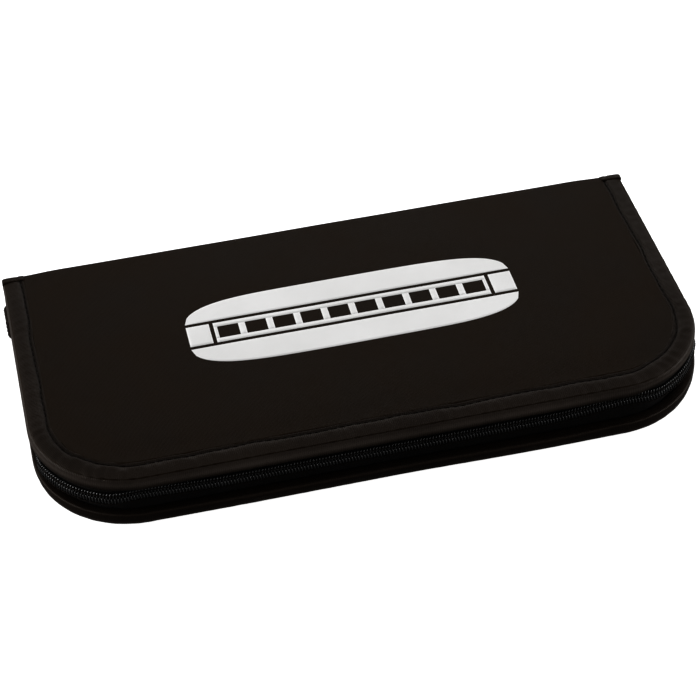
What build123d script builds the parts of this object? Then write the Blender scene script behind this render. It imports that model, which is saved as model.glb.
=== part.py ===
"""Zip-around soft case for seven ten-hole harmonicas, closed. Millimetres, +Z up.

The origin is at the centre of the rest face. X runs along the case, the spine is at +Y and the
rounded front at -Y. The lid is the base turned over, and the spine folds on its two long edges.
"""

from build123d import *
import os

os.makedirs("parts", exist_ok=True)

# ---- what the case holds ----
HARMONICA_LENGTH = 102.0
HARMONICA_WIDTH = 27.0
HARMONICA_HEIGHT = 20.0
HARMONICA_COUNT = 7

# ---- room left round them in the closed case ----
END_SPACE = 12.5
FRONT_SPACE = 22.0
REAR_SPACE = 1.3
TOP_SPACE = 0.1
CORNER_RADIUS = 40.0

# ---- layers of a cover panel, from the outside in ----
COVER = 0.5
FOAM = 0.6
BOARD = 0.8
LINING = 0.4

# ---- the binding, rolled round the panel's edge ----
BINDING = 0.6
BINDING_WIDTH = 9.0
ROLL_HEIGHT = 6.0
ROLL_WIDTH = 3.6
BINDING_ROUND = 1.0

# ---- the spine ----
SPINE_BOARD = 0.8
FOLD_GAP = 0.2

# ---- the zipper ----
TAPE = 0.5
TAPE_HEM = 5.4
COIL_WIDTH = 2.4
COIL_DEPTH = 1.8
ZIP_GROOVE = 1.2
RUNNING_GAP = 0.3

# ---- the slider, its crown and its pull ----
SLIDER_FROM_BACK = 40.0
SLIDER_LENGTH = 12.0
SLIDER_WALL = 1.0
POST_LENGTH = 3.0
POST_WIDTH = 0.9
FLANGE_DEPTH = 0.9
CROWN_LENGTH = 8.0
CROWN_WIDTH = 2.4
CROWN_WALL = 0.7
CROWN_CLEAR = 1.2
PULL_LENGTH = 22.0
PULL_WIDTH = 5.6
PULL_TIP = 5.5
PULL_TIP_WIDTH = 4.0
PULL_ROUND = 1.0
PULL_THICK = 0.6
PULL_PIN = 0.7
PULL_HOLE = 2.4
STOP_LENGTH = 3.0

# ---- the folded tab over the zipper's sewn end ----
END_TAB_LENGTH = 11.0
END_TAB_FROM_BACK = 8.0
END_TAB_HEIGHT = 10.0

# ---- the elastic loops ----
ELASTIC = 0.5
ELASTIC_WIDTH = 40.0
LOOP_SIDE_CLEAR = 0.4
LOOP_FOOT = 2.8
FOOT_SPACE = 0.6
LID_CLEAR = 0.3

# ---- the closed case, worked out from what it holds ----
FIELD_LIFT = COVER + FOAM
BOARD_TOP = FIELD_LIFT + BOARD
FLOOR = BOARD_TOP + LINING
SPINE = COVER + SPINE_BOARD + LINING
SPINE_END = 2 * BINDING + COVER + LINING
LOOP_HALF = HARMONICA_WIDTH / 2 + LOOP_SIDE_CLEAR
LOOP_PITCH = 2 * (LOOP_HALF + ELASTIC + LOOP_FOOT) + FOOT_SPACE
CASE_LENGTH = HARMONICA_COUNT * LOOP_PITCH + 2 * END_SPACE
CASE_WIDTH = HARMONICA_LENGTH + FRONT_SPACE + REAR_SPACE + SPINE
CASE_HEIGHT = HARMONICA_HEIGHT + TOP_SPACE + ELASTIC + LID_CLEAR + 2 * FLOOR

# ---- places that follow from those sizes ----
BACK = CASE_WIDTH / 2
MID = CASE_HEIGHT / 2
SPINE_FACE = BACK - SPINE
TAPE_IN = ROLL_WIDTH + TAPE
GROOVE_LOW = MID - ZIP_GROOVE / 2
COIL_LOW = GROOVE_LOW - COIL_WIDTH
COIL_OUT = ROLL_WIDTH - COIL_DEPTH
RIGHT = CASE_LENGTH / 2
SLIDER_Y = BACK - SLIDER_FROM_BACK
STOP_Y = SLIDER_Y + SLIDER_LENGTH / 2 + RUNNING_GAP
PLATE_IN = COIL_OUT - RUNNING_GAP
PLATE_OUT = PLATE_IN - SLIDER_WALL
PIVOT_OUT = PLATE_OUT - CROWN_CLEAR / 2
PROUD = CROWN_CLEAR + CROWN_WALL - PLATE_OUT
LOOP_TOP = CASE_HEIGHT - FLOOR - LID_CLEAR
LOOP_Y = SPINE_FACE - REAR_SPACE - HARMONICA_LENGTH / 2


def plan(inset):
    """The case's outline, drawn in by inset on the front and both sides."""
    front = inset - BACK
    sheet = Pos(0, (front + BACK) / 2) * Rectangle(CASE_LENGTH - 2 * inset, BACK - front)
    return fillet(sheet.vertices().sort_by(Axis.Y)[:2], CORNER_RADIUS - inset)


def plate(inset, low, high):
    """A flat layer of the panel."""
    return extrude(Pos(0, 0, low) * plan(inset), high - low)


def rim(outer, inner, low, high):
    """A band that follows the front and both sides."""
    return plate(outer, low, high) - plate(inner, low, high)


def block(x, y, z):
    """A box between three pairs of limits."""
    size = [abs(pair[1] - pair[0]) for pair in (x, y, z)]
    centre = [(pair[0] + pair[1]) / 2 for pair in (x, y, z)]
    return Pos(*centre) * Box(*size)


def profile(points, x_low, x_high):
    """A prism along X over a closed line of (y, z) points."""
    face = Plane.YZ.offset(x_low) * make_face(Polyline(*points, close=True))
    return extrude(face, x_high - x_low, dir=(1, 0, 0))


def behind_fold():
    """The space of the spine and its fold, which the base keeps clear of."""
    deepest = max(SPINE, SPINE_END)
    foot = BACK - deepest - FOLD_GAP
    beyond = BACK + CASE_HEIGHT
    points = [(BACK - FOLD_GAP, 0), (foot, deepest), (foot, beyond), (beyond, beyond)]
    points += [(beyond, -beyond), (BACK - FOLD_GAP, -beyond)]
    return profile(points, -CASE_LENGTH, CASE_LENGTH)


def over(solid):
    """The same piece on the lid."""
    return mirror(solid, Plane.XY.offset(MID))


def panel():
    """The layers of the base panel, the binding round them and the zipper's half."""
    field = plate(BINDING_WIDTH, 0, COVER)
    step = rim(BINDING_WIDTH, BINDING_WIDTH + COVER, 0, BINDING + COVER)
    margin = rim(BINDING, BINDING_WIDTH + COVER, BINDING, BINDING + COVER)
    band = rim(0, BINDING_WIDTH, 0, BINDING) + rim(0, BINDING, 0, ROLL_HEIGHT)
    binding = band + rim(0, ROLL_WIDTH, FLOOR, ROLL_HEIGHT)
    outside = binding.edges().filter_by_position(Axis.Z, 0, 0)
    outside = [e for e in outside if on_outline(e)]
    lower = binding.edges().filter_by_position(Axis.Z, ROLL_HEIGHT, ROLL_HEIGHT)
    outside += [e for e in lower if on_outline(e)]
    binding = fillet(outside, BINDING_ROUND)
    tape = rim(ROLL_WIDTH, TAPE_IN, FLOOR, GROOVE_LOW)
    tape += rim(ROLL_WIDTH, ROLL_WIDTH + TAPE_HEM, FLOOR, FLOOR + TAPE)
    layers = {
        "cover": field + step + margin,
        "foam": plate(BINDING_WIDTH + COVER, COVER, FIELD_LIFT),
        "board": plate(BINDING, BINDING + COVER, BOARD_TOP),
        "lining": plate(BINDING, BOARD_TOP, FLOOR),
        "binding": binding,
        "zip_tape": tape,
    }
    space = behind_fold()
    layers = {name: solid - space for name, solid in layers.items()}
    layers["zip_coil"] = coil()
    return layers


def on_outline(edge):
    """True for an edge on the outermost line of the plan, apart from its back."""
    middle = edge @ 0.5
    side = abs(middle.X) > RIGHT - CORNER_RADIUS and middle.Y > CORNER_RADIUS - BACK
    if side:
        return abs(abs(middle.X) - RIGHT) < 1e-3
    corner = Vector(abs(middle.X) - RIGHT + CORNER_RADIUS, middle.Y + BACK - CORNER_RADIUS)
    if corner.X > 1e-3:
        return abs(corner.length - CORNER_RADIUS) < 1e-3
    return abs(middle.Y + BACK) < 1e-3


def coil():
    """The lower half of the chain, from under the end tab to its stop."""
    whole = rim(COIL_OUT, ROLL_WIDTH, COIL_LOW, GROOVE_LOW)
    left_end = BACK - END_TAB_FROM_BACK - END_TAB_LENGTH / 3
    heights = (0, CASE_HEIGHT)
    whole -= block((-CASE_LENGTH, 0), (left_end, CASE_WIDTH), heights)
    return whole - block((0, CASE_LENGTH), (STOP_Y, CASE_WIDTH), heights)


def top_stop():
    """The clamp at the end of the lower coil."""
    depth = (RIGHT - ROLL_WIDTH, RIGHT - COIL_OUT)
    return block(depth, (STOP_Y, STOP_Y + STOP_LENGTH), (COIL_LOW, GROOVE_LOW))


def end_tab():
    """The folded tab over the sewn end, tacked to the lower tape only."""
    back = BACK - END_TAB_FROM_BACK
    along = (back - END_TAB_LENGTH, back)
    low = MID - END_TAB_HEIGHT / 2
    tab = block((-RIGHT - PROUD, PLATE_IN - RIGHT), along, (low, low + END_TAB_HEIGHT))
    tab = fillet(tab.faces().sort_by(Axis.X)[0].edges(), BINDING_ROUND)
    foot = block((PLATE_IN - RIGHT, ROLL_WIDTH - RIGHT), along, (low, COIL_LOW - RUNNING_GAP))
    return tab + foot


def spine_layer(out, inner, x_low, x_high):
    """A layer of the spine between two depths, its long edges mitred for the folds."""
    points = [(BACK - out, out + FOLD_GAP), (BACK - inner, inner + FOLD_GAP)]
    points += [(y, CASE_HEIGHT - z) for y, z in reversed(points)]
    return profile(points, x_low, x_high)


def spine():
    """The spine's layers, which are pressed flat under the binding at both its ends."""
    bound = RIGHT - BINDING_WIDTH
    board = bound - COVER
    edge = RIGHT - BINDING
    margin = (BINDING, BINDING + COVER)
    beneath = (margin[1], margin[1] + LINING)
    cover = spine_layer(0, COVER, -bound, bound)
    lining = spine_layer(COVER + SPINE_BOARD, SPINE, -board, board)
    for side in (-1, 1):
        step = sorted((side * board, side * bound))
        end = sorted((side * board, side * edge))
        cover += spine_layer(0, margin[1], *step)
        cover += spine_layer(*margin, *end)
        lining += spine_layer(*beneath, *end)
    return {
        "cover": cover,
        "board": spine_layer(COVER, COVER + SPINE_BOARD, -board, board),
        "lining": lining,
        "binding_left": spine_binding(-1),
        "binding_right": spine_binding(1),
    }


def spine_binding(side):
    """The stretch of the binding that runs on over one end of the spine."""
    inner, edge, outer = (side * (RIGHT - d) for d in (BINDING_WIDTH, BINDING, 0))
    both = sorted((inner, outer))
    tape = spine_layer(0, BINDING, *both)
    tape += spine_layer(SPINE_END - BINDING, SPINE_END, *both)
    return tape + spine_layer(0, SPINE_END, *sorted((edge, outer)))


def slider_body():
    """Two plates joined by the post that runs in the groove between the coils."""
    half = SLIDER_LENGTH / 2
    along = (SLIDER_Y - half, SLIDER_Y + half)
    low = COIL_LOW - RUNNING_GAP - FLANGE_DEPTH
    tall = (low, CASE_HEIGHT - low)
    inner = TAPE_IN + RUNNING_GAP
    front = block((RIGHT - PLATE_IN, RIGHT - PLATE_OUT), along, tall)
    front = fillet(front.edges().filter_by(Axis.X), SLIDER_WALL)
    rear = block((RIGHT - inner - SLIDER_WALL, RIGHT - inner), along, tall)
    rear = fillet(rear.edges().filter_by(Axis.X), SLIDER_WALL)
    nose = (along[1] - POST_LENGTH - SLIDER_WALL, along[1] - SLIDER_WALL)
    across = (MID - POST_WIDTH / 2, MID + POST_WIDTH / 2)
    post = block((RIGHT - inner, RIGHT - PLATE_IN), nose, across)
    level = (along[0] + SLIDER_WALL, along[1] - SLIDER_WALL)
    hook = (RIGHT - ROLL_WIDTH + RUNNING_GAP, RIGHT - PLATE_IN)
    flange = block(hook, level, (low, low + FLANGE_DEPTH))
    return front + rear + post + flange


def crown():
    """The arch on the slider's face that the pull hangs in."""
    ends = (SLIDER_Y - CROWN_LENGTH / 2, SLIDER_Y + CROWN_LENGTH / 2)
    width = (MID - CROWN_WIDTH / 2, MID + CROWN_WIDTH / 2)
    arch = block((RIGHT - PLATE_OUT, RIGHT + PROUD), ends, width)
    arch = fillet(arch.faces().sort_by(Axis.X)[-1].edges().filter_by(Axis.Z), CROWN_WALL)
    hole = (ends[0] + CROWN_WALL, ends[1] - CROWN_WALL)
    return arch - block((RIGHT - PLATE_OUT, RIGHT - PLATE_OUT + CROWN_CLEAR), hole, width)


def pull_tab():
    """The pull: a pin under the crown, an eye round it and a tapered grip."""
    x = RIGHT - PIVOT_OUT
    eye_end = CROWN_LENGTH / 2 + RUNNING_GAP
    eye_width = CROWN_WIDTH + 2 * RUNNING_GAP
    side = PULL_WIDTH / 2
    bend = SLIDER_Y - PULL_LENGTH + PULL_TIP
    end = SLIDER_Y - PULL_LENGTH
    taper = PULL_TIP_WIDTH / 2
    outline = [(SLIDER_Y, MID - side), (SLIDER_Y, MID + side), (bend, MID + side)]
    outline += [(end, MID + taper), (end, MID - taper), (bend, MID - side)]
    blade = profile(outline, x - PULL_THICK / 2, x + PULL_THICK / 2)
    blade = fillet(blade.edges().filter_by(Axis.X).sort_by(Axis.Y)[:4], PULL_ROUND)
    eye = (MID - eye_width / 2, MID + eye_width / 2)
    blade -= block((x - PULL_THICK, x + PULL_THICK), (SLIDER_Y - eye_end, SLIDER_Y), eye)
    hole = Pos(x, end + side, MID) * Rotation(0, 90, 0)
    blade -= hole * Cylinder(PULL_HOLE / 2, 2 * PULL_THICK)
    return blade + Pos(x, SLIDER_Y, MID) * Cylinder(PULL_PIN / 2, PULL_WIDTH)


def loop(number):
    """One elastic loop, its two feet tacked down to the lining."""
    x = (number - (HARMONICA_COUNT + 1) / 2) * LOOP_PITCH
    y = (LOOP_Y - ELASTIC_WIDTH / 2, LOOP_Y + ELASTIC_WIDTH / 2)
    outer = LOOP_HALF + ELASTIC
    band = block((x - outer, x + outer), y, (FLOOR, LOOP_TOP))
    band = fillet(band.faces().sort_by(Axis.Z)[-1].edges().filter_by(Axis.Y), ELASTIC)
    band -= block((x - LOOP_HALF, x + LOOP_HALF), y, (FLOOR, LOOP_TOP - ELASTIC))
    for side in (-1, 1):
        foot = (x + side * outer, x + side * (outer + LOOP_FOOT))
        band += block(foot, y, (FLOOR, FLOOR + ELASTIC))
    return band


parts = {}
for name, solid in panel().items():
    parts["base_" + name] = solid
    parts["lid_" + name] = over(solid)
parts["base_top_stop"] = top_stop()
parts["lid_top_stop"] = over(top_stop())
parts["zip_end_tab"] = end_tab()
for name, solid in spine().items():
    parts["spine_" + name] = solid
parts["slider_body"] = slider_body()
parts["slider_crown"] = crown()
parts["pull_tab"] = pull_tab()
for number in range(1, HARMONICA_COUNT + 1):
    parts[f"harmonica_loop_{number}"] = loop(number)

for name, solid in parts.items():
    export_step(solid, f"parts/{name}.step")
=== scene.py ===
import math

import bmesh
import bpy
import numpy as np
from mathutils import Matrix, Vector


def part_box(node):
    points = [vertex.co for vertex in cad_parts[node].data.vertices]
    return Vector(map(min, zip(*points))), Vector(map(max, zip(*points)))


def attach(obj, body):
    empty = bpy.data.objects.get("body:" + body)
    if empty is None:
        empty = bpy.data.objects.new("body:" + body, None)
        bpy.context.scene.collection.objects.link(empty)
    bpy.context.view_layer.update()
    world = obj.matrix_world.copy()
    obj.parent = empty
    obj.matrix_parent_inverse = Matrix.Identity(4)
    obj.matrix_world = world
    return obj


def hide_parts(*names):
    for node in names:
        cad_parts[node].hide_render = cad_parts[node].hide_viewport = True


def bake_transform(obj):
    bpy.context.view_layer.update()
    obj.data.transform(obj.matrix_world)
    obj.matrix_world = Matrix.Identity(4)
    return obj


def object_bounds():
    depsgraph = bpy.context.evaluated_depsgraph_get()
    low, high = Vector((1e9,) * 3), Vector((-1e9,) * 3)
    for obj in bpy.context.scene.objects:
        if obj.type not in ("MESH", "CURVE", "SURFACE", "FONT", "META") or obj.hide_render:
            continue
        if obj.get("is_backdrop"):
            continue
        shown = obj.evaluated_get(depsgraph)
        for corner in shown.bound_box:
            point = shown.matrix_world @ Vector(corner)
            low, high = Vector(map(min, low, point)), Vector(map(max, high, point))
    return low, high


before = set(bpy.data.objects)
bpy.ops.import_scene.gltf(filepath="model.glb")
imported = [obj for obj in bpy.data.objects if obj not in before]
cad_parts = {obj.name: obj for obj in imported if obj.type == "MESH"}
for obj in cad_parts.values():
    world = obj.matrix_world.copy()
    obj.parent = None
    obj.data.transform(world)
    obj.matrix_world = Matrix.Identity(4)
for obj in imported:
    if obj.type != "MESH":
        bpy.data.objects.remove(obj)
cad_low, cad_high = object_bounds()

# ---------------------------------------------------------------------------------------
# The table and the light. The case lies closed on a plain pale table in an evenly lit room,
# with one soft lamp at each of its ends and a low one behind. All sizes are in metres.
# ---------------------------------------------------------------------------------------
MM = 0.001
WHITE = (1, 1, 1, 1)
case_low, case_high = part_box("lid_binding")
HALF, HEIGHT = case_high.x, case_high.z
FRONT, BACK = case_low.y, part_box("spine_cover")[1].y

TABLE_HALF = 4.0
TABLE_BEHIND = 3.0
TABLE_GAP = 0.2 * MM
# How bright the table and the room are to the camera, and to the rays that light the case.
TABLE_SEEN, TABLE_BOUNCE, TABLE_GLOW, TABLE_GRAIN = 0.74, 0.3, 0.6, 0.04
ROOM_SEEN, ROOM_LIGHT = 1.0, 0.36


def shader(name, slot=None, settings=None):
    """A new material for a slot of the record, with its node tree and Principled shader."""
    made = bpy.data.materials.new(name)
    made.use_nodes = True
    surface = made.node_tree.nodes["Principled BSDF"]
    for label, value in (settings or {}).items():
        surface.inputs[label].default_value = value
    if slot:
        made["slot"] = slot
    return made, made.node_tree, surface


def add(tree, kind, inputs=None, **settings):
    """A node of a kind, with its settings and its linked or plain inputs."""
    node = tree.nodes.new(kind)
    for key, value in settings.items():
        setattr(node, key, value)
    for key, value in (inputs or {}).items():
        if isinstance(value, bpy.types.NodeSocket):
            tree.links.new(value, node.inputs[key])
        else:
            node.inputs[key].default_value = value
    return node


def sums(tree, operation, first, second=0.5, third=0.5):
    """The output of one Math node."""
    return add(tree, "ShaderNodeMath", {0: first, 1: second, 2: third}, operation=operation).outputs[0]


def put_in_scene(name, data):
    made = bpy.data.objects.new(name, data)
    bpy.context.scene.collection.objects.link(made)
    return made


table_paint, tree, surface = shader(
    "pale_table", None, {"Roughness": 0.9, "Specular IOR Level": 0.1, "Emission Color": WHITE}
)
grain = add(tree, "ShaderNodeTexNoise", {"Scale": 3.0, "Detail": 2.0})
seen = add(tree, "ShaderNodeLightPath").outputs["Is Camera Ray"]
bounce = add(tree, "ShaderNodeMapRange", {"Value": seen, "To Min": TABLE_BOUNCE, "To Max": TABLE_SEEN})
tone = sums(tree, "MULTIPLY_ADD", grain.outputs["Fac"], TABLE_GRAIN, bounce.outputs[0])
shade = add(tree, "ShaderNodeCombineColor", {"Red": tone, "Green": tone, "Blue": tone})
tree.links.new(shade.outputs[0], surface.inputs["Base Color"])
tree.links.new(sums(tree, "MULTIPLY", seen, TABLE_GLOW), surface.inputs["Emission Strength"])

corners = [(-TABLE_HALF, -TABLE_HALF, 0), (TABLE_HALF, -TABLE_HALF, 0)]
corners += [(TABLE_HALF, TABLE_BEHIND, 0), (-TABLE_HALF, TABLE_BEHIND, 0)]
top = bpy.data.meshes.new("table_top")
top.from_pydata(corners, [], [(0, 1, 2, 3)])
table = put_in_scene("table_top", top)
table.location.z = cad_low.z - TABLE_GAP
table.data.materials.append(table_paint)
table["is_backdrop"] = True

world = bpy.data.worlds.new("pale_room")
bpy.context.scene.world = world
world.use_nodes = True
room, sky = world.node_tree, world.node_tree.nodes["Background"]
sky.inputs["Color"].default_value = WHITE
seen = add(room, "ShaderNodeLightPath").outputs["Is Camera Ray"]
power = add(room, "ShaderNodeMapRange", {"Value": seen, "To Min": ROOM_LIGHT, "To Max": ROOM_SEEN})
room.links.new(power.outputs[0], sky.inputs["Strength"])


def lamp(name, place, size, watts):
    """A soft rectangular lamp aimed at the case."""
    data = bpy.data.lights.new(name, "AREA")
    data.shape = "RECTANGLE"
    data.size, data.size_y = size
    data.energy = watts
    made = put_in_scene(name, data)
    made.location = place
    made.rotation_euler = (-Vector(place)).to_track_quat("-Z", "Y").to_euler()


lamp("left_lamp", place=(-1.1, 0.25, 0.3), size=(0.8, 0.35), watts=6.0)
lamp("right_lamp", place=(1.1, 0.05, 0.3), size=(0.8, 0.35), watts=4.3)
lamp("rear_lamp", place=(0.13, 0.62, 0.34), size=(0.6, 0.12), watts=0.7)

# A long lens on a 36 mm wide sensor looks down on the case from in front, a little rolled.
CAMERA_AZIMUTH = math.radians(-12.14)
CAMERA_ELEVATION = math.radians(43.55)
CAMERA_ROLL = math.radians(-1.86)
CAMERA_DISTANCE = 0.8062
CAMERA_TARGET = Vector((-0.00189, -0.00258, HEIGHT / 2))
FOCAL_LENGTH = 101.8

lens = bpy.data.cameras.new("camera")
lens.lens = FOCAL_LENGTH
lens.clip_start = 0.01
camera = put_in_scene("camera", lens)
bpy.context.scene.camera = camera
away = Vector((
    math.sin(CAMERA_AZIMUTH) * math.cos(CAMERA_ELEVATION),
    -math.cos(CAMERA_AZIMUTH) * math.cos(CAMERA_ELEVATION),
    math.sin(CAMERA_ELEVATION),
))
level = Vector((math.cos(CAMERA_AZIMUTH), math.sin(CAMERA_AZIMUTH), 0))
upright = away.cross(level)
across = math.cos(CAMERA_ROLL) * level + math.sin(CAMERA_ROLL) * upright
upwards = away.cross(across)
turn = Matrix((across, upwards, away)).transposed().to_4x4()
camera.matrix_world = Matrix.Translation(CAMERA_TARGET + away * CAMERA_DISTANCE) @ turn
bpy.context.scene.view_settings.view_transform = "Standard"
bpy.context.scene.view_settings.look = "High Contrast"

# ---------------------------------------------------------------------------------------
# The outer cloth, a coated oxford nylon in very dark warm black. One cloth wraps base,
# spine and lid; it is cut here along the middle of the spine, so that each half can follow
# its own fold. Its margin dips under the binding, and the lid's field is slightly crowned.
# ---------------------------------------------------------------------------------------
CORNER = 40.0 * MM
SIDE_RUN = BACK - FRONT - CORNER
ARC_RUN = math.pi / 2 * CORNER
FRONT_RUN = 2 * (HALF - CORNER)
RIM_RUN = 2 * SIDE_RUN + 2 * ARC_RUN + FRONT_RUN
CORNER_STARTS = (SIDE_RUN, SIDE_RUN + ARC_RUN + FRONT_RUN)


def rim_line(s):
    """Points on the case's outline and the outward normals there, at distances s from the
    right rear corner, along the right side, the front and the left side."""
    s = np.asarray(s, float)
    first = np.minimum(s, SIDE_RUN)
    turn_1 = np.clip(s - SIDE_RUN, 0, ARC_RUN) / CORNER
    middle = np.clip(s - SIDE_RUN - ARC_RUN, 0, FRONT_RUN)
    turn_2 = np.clip(s - SIDE_RUN - ARC_RUN - FRONT_RUN, 0, ARC_RUN) / CORNER
    last = np.maximum(s - SIDE_RUN - 2 * ARC_RUN - FRONT_RUN, 0)
    x = HALF - CORNER + CORNER * np.cos(turn_1) - middle - CORNER * np.sin(turn_2)
    y = BACK - first - CORNER * np.sin(turn_1) + CORNER * (1 - np.cos(turn_2)) + last
    angle = -(turn_1 + turn_2)
    return np.stack([x, y], -1), np.stack([np.cos(angle), np.sin(angle)], -1)


def new_piece(name, points, faces, cloth, material, smooth=True, flip=False):
    """A mesh object with a point attribute, cloth, that holds its flat pattern in metres."""
    if flip:
        faces = [face[::-1] for face in faces]
    mesh = bpy.data.meshes.new(name)
    mesh.from_pydata([tuple(p) for p in points], [], faces)
    layer = mesh.attributes.new("cloth", "FLOAT_VECTOR", "POINT")
    flat = np.zeros((len(points), 3), np.float32)
    flat[:, : np.shape(cloth)[1]] = cloth
    layer.data.foreach_set("vector", flat.ravel())
    mesh.polygons.foreach_set("use_smooth", [smooth] * len(mesh.polygons))
    mesh.update()
    made = put_in_scene(name, mesh)
    made.data.materials.append(material)
    return made


def quads(rows, count, closed=False, turned=False, first=0):
    """Faces between neighbouring rows of count points, from the first point's number on.
    closed joins each row's two ends, and turned makes the faces look the other way."""
    faces = []
    for start in range(first, first + (rows - 1) * count, count):
        for k in range(count if closed else count - 1):
            n = (k + 1) % count
            near, far = (start + k, start + n), (start + count + k, start + count + n)
            faces.append((*near, far[1], far[0]) if turned else (near[0], *far, near[1]))
    return faces


def thicken(piece, thickness, offset=-1):
    """Gives a sheet its thickness: on its inner side, or with offset 0 on both."""
    solid = piece.modifiers.new("thickness", "SOLIDIFY")
    solid.thickness = thickness
    solid.offset = offset


def smoothstep(x, low, high):
    t = np.clip((x - low) / (high - low), 0, 1)
    return t * t * (3 - 2 * t)


SWELL_WAVES, SWELL_LENGTHS = 6, (45, 150)


def swell(x, y, seed):
    """A slow uneven swell from -1 to 1 over a sheet, as soft cloth has."""
    draw = np.random.default_rng(seed)
    total = 0
    for number in range(SWELL_WAVES):
        angle = draw.uniform(0, 2 * math.pi)
        wave = draw.uniform(*SWELL_LENGTHS) * MM
        phase = draw.uniform(0, 2 * math.pi)
        total = total + np.sin((x * math.cos(angle) + y * math.sin(angle)) / wave * 2 * math.pi + phase)
    return total / SWELL_WAVES


# How many steps a sheet has along each run of its outline, round its fold and up the spine.
SIDE_STEPS, ARC_STEPS, FRONT_STEPS = 29, 24, 63
FOLD_STEPS, RISE_STEPS = 7, 4


def wrapped_sheet(name, insets, depth, spine_y, fold, sink, material, upper, inside=False):
    """A sheet over one panel that turns round its fold and runs to the spine's middle.
    insets are the distances of its rings from the outline, depth its distance from the
    case's outer face, fold the radius of its turn, and sink(inset, x, y) how far it dips
    inwards. upper makes the lid's sheet, which is the base's turned over, and inside makes a
    sheet that faces into the case."""
    start = BACK - (spine_y - fold)
    stations = np.concatenate([
        np.linspace(start, SIDE_RUN, SIDE_STEPS + 1),
        np.linspace(SIDE_RUN, SIDE_RUN + ARC_RUN, ARC_STEPS + 1)[1:],
        SIDE_RUN + ARC_RUN + np.linspace(0, FRONT_RUN, FRONT_STEPS + 1)[1:],
        SIDE_RUN + ARC_RUN + FRONT_RUN + np.linspace(0, ARC_RUN, ARC_STEPS + 1)[1:],
        RIM_RUN - np.linspace(SIDE_RUN, start, SIDE_STEPS + 1)[1:],
    ])
    count = len(stations)
    line, normal = rim_line(stations)
    points, edge_distance = [], []
    for inset in insets:
        points += list(line - normal * inset)
        edge_distance += [inset] * count
    rings = len(insets)
    columns = np.linspace(HALF - CORNER, CORNER - HALF, FRONT_STEPS + 1)
    rows = np.linspace(spine_y - fold, FRONT + CORNER, SIDE_STEPS + 1)
    grid = rings * count

    def at(row, column):
        return grid + row * len(columns) + column

    for y in rows:
        points += [(x, y) for x in columns]
        edge_distance += [CORNER] * len(columns)
    inner = [at(row, 0) for row in range(SIDE_STEPS)]
    inner += [at(SIDE_STEPS, 0)] * (ARC_STEPS + 1)
    inner += [at(SIDE_STEPS, column) for column in range(1, FRONT_STEPS)]
    inner += [at(SIDE_STEPS, FRONT_STEPS)] * (ARC_STEPS + 1)
    inner += [at(row, FRONT_STEPS) for row in range(SIDE_STEPS - 1, -1, -1)]
    faces = quads(rings, count, turned=True)
    last = (rings - 1) * count
    for k in range(count - 1):
        quad = (last + k, last + k + 1, inner[k + 1], inner[k])
        faces.append(quad if inner[k] != inner[k + 1] else quad[:3])
    faces += quads(SIDE_STEPS + 1, len(columns), first=grid)
    flat = np.array(points, float)
    edge_distance = np.array(edge_distance)
    dip = sink(edge_distance, flat[:, 0], flat[:, 1])
    places = [np.column_stack([flat, depth + dip])]
    pattern = [flat]

    rear = [ring * count for ring in range(rings)] + [at(0, c) for c in range(FRONT_STEPS + 1)]
    rear += [ring * count + count - 1 for ring in range(rings - 1, -1, -1)]
    rear_x = flat[rear, 0]
    rise = HEIGHT / 2 - depth - fold
    steps = [(math.pi / 2 * k / FOLD_STEPS, 0) for k in range(1, FOLD_STEPS + 1)]
    steps += [(math.pi / 2, rise * k / RISE_STEPS) for k in range(1, RISE_STEPS + 1)]
    for angle, up in steps:
        run = np.full(len(rear), spine_y - fold + fold * angle + up)
        dip = sink(HALF - np.abs(rear_x), rear_x, run)
        y = spine_y - fold + (fold - dip) * math.sin(angle)
        low = depth + fold + up - (fold - dip) * math.cos(angle)
        places.append(np.column_stack([rear_x, y, low]))
        pattern.append(np.column_stack([rear_x, run]))
    total = len(flat)
    faces += [(rear[k], rear[k + 1], total + k + 1, total + k) for k in range(len(rear) - 1)]
    faces += quads(len(steps), len(rear), turned=True, first=total)
    places = np.concatenate(places)
    if upper:
        places[:, 2] = HEIGHT - places[:, 2]
    return new_piece(name, places, faces, np.concatenate(pattern), material, flip=upper != inside)


def group(name, inputs, outputs):
    """An empty shader group with named number or vector inputs and outputs."""
    made = bpy.data.node_groups.new(name, "ShaderNodeTree")
    for label, kind, value in inputs:
        socket = made.interface.new_socket(label, in_out="INPUT", socket_type=kind)
        if value is not None:
            socket.default_value = value
    for label, kind in outputs:
        made.interface.new_socket(label, in_out="OUTPUT", socket_type=kind)
    return made, made.nodes.new("NodeGroupInput"), made.nodes.new("NodeGroupOutput")


def noise(tree, place, scale, detail=2.0, distortion=0.0):
    inputs = {"Vector": place, "Scale": scale, "Detail": detail, "Distortion": distortion}
    return add(tree, "ShaderNodeTexNoise", inputs).outputs["Fac"]


FLOAT, VECTOR = "NodeSocketFloat", "NodeSocketVector"

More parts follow.
